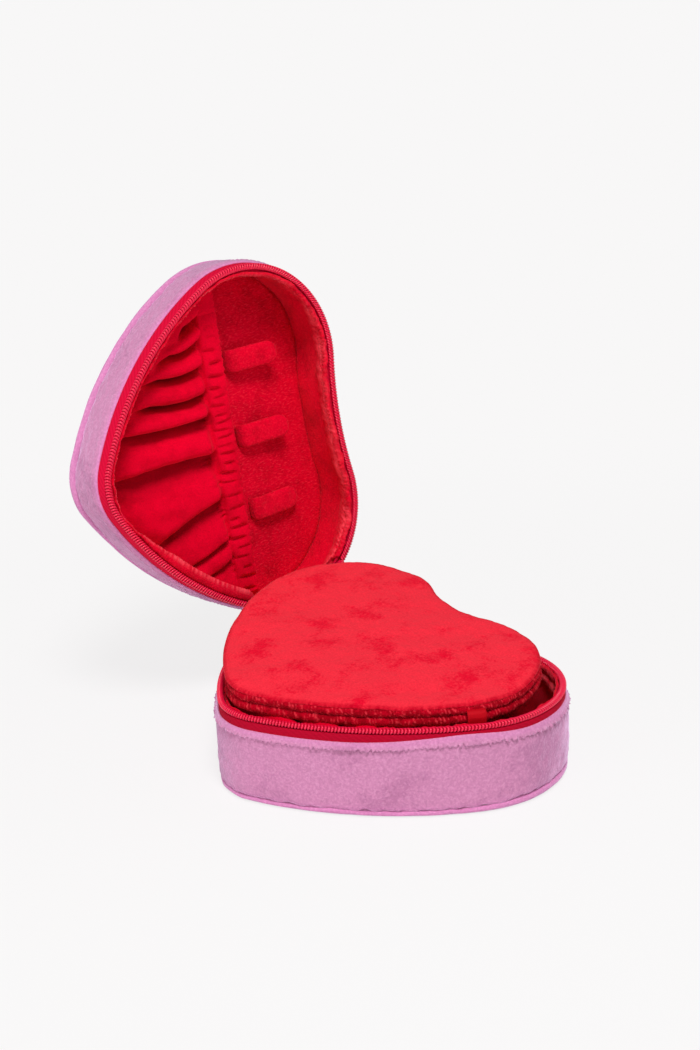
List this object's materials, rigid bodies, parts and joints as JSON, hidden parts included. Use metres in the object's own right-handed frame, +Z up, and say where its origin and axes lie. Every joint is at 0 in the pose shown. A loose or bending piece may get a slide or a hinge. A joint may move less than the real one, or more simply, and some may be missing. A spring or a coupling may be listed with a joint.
{
  "type": "heart-shaped jewellery box",
  "caption": "Soft heart-shaped jewellery box with a zip round its rim, a padded flap over ring bars and compartments, and a lid with a gathered pocket and necklace tabs.",
  "frame": {"origin": "on the standing surface, midway between the lobes on the line through the lobe centres", "axes": "+Z up; +X from the heart's tip towards its cleft; +Y towards the lobe that carries the cloth hinge"},
  "size_m": [0.1226, 0.1745, 0.168],
  "materials": {
    "pink_plush": "short-pile pink velour",
    "pink_hem": "smooth folded pink velour hem",
    "red_plush": "brushed red plush",
    "red_zip_tape": "red twill zip tape",
    "red_zip_coil": "red nylon coil",
    "red_enamel": "red enamelled die-casting",
    "red_ribbon": "red satin ribbon",
    "elastic": "flat woven elastic",
    "foam": "soft foam",
    "stiffening_board": "grey stiffening board",
    "snap_plastic": "red moulded press stud"
  },
  "bodies": {
    "base": {"base_bottom_cover": "pink_plush", "base_bottom_board": "stiffening_board", "base_bottom_welt": "pink_plush", "base_side_wall": "pink_plush", "base_side_hem": "pink_hem", "base_wall_board": "stiffening_board", "base_lining_floor": "red_plush", "base_lining_wall": "red_plush", "base_zip_tape": "red_zip_tape", "base_zip_coil": "red_zip_coil", "base_zip_stops": "red_zip_coil", "base_hinge_half": "pink_plush", "zip_slider": "red_enamel", "cross_divider": "red_plush", "lobe_divider": "red_plush", "ring_bar_bed": "foam", "ring_bar_1": "red_plush", "ring_bar_2": "red_plush", "ring_bar_3": "red_plush", "ring_bar_4": "red_plush", "ring_bar_5": "red_plush", "flap_hinge_strip": "red_plush"},
    "lid": {"lid_top_cover": "pink_plush", "lid_top_board": "stiffening_board", "lid_top_welt": "pink_plush", "lid_side_wall": "pink_plush", "lid_side_hem": "pink_hem", "lid_wall_board": "stiffening_board", "lid_lining_panel": "red_plush", "lid_lining_wall": "red_plush", "lid_zip_tape": "red_zip_tape", "lid_zip_coil": "red_zip_coil", "lid_zip_stops": "red_zip_coil", "lid_hinge_half": "pink_plush", "pocket_sheet": "red_plush", "pocket_casing": "red_plush", "pocket_elastic": "elastic", "tab_snap_studs": "snap_plastic"},
    "flap": {"flap_top_pad": "red_plush", "flap_board": "stiffening_board", "flap_bottom_pad": "red_plush", "flap_top_piping": "red_plush", "flap_bottom_piping": "red_plush", "flap_pull_ribbon": "red_ribbon"},
    "tab_1": {"necklace_tab_1": "red_plush", "tab_snap_socket_1": "snap_plastic"},
    "tab_2": {"necklace_tab_2": "red_plush", "tab_snap_socket_2": "snap_plastic"},
    "tab_3": {"necklace_tab_3": "red_plush", "tab_snap_socket_3": "snap_plastic"},
    "pull": {"zip_pull": "red_enamel"}
  },
  "joints": [
    {"name": "lid_hinge", "type": "hinge", "parent": "base", "child": "lid", "pos_m": [-0.00352, 0.06804, 0.032], "axis": [-0.9959, -0.0906, 0], "range_deg": [-95, 0]},
    {"name": "flap_hinge", "type": "hinge", "parent": "base", "child": "flap", "pos_m": [-0.00192, 0.06396, 0.04313], "axis": [-0.9991, 0.0038, -0.0417], "range_deg": [0, 60]},
    {"name": "tab_1_hinge", "type": "hinge", "parent": "lid", "child": "tab_1", "pos_m": [-0.01139, 0.09731, 0.12774], "axis": [0.0981, -0.0782, -0.9921], "range_deg": [0, 75]},
    {"name": "tab_2_hinge", "type": "hinge", "parent": "lid", "child": "tab_2", "pos_m": [-0.00844, 0.09496, 0.09797], "axis": [0.0981, -0.0782, -0.9921], "range_deg": [0, 75]},
    {"name": "tab_3_hinge", "type": "hinge", "parent": "lid", "child": "tab_3", "pos_m": [-0.0055, 0.09261, 0.06821], "axis": [0.0981, -0.0782, -0.9921], "range_deg": [0, 75]},
    {"name": "zip_pull_hinge", "type": "hinge", "parent": "base", "child": "pull", "pos_m": [0.02171, 0.06582, 0.03125], "axis": [0.859, -0.512, 0], "range_deg": [0, 100]}
  ]
}
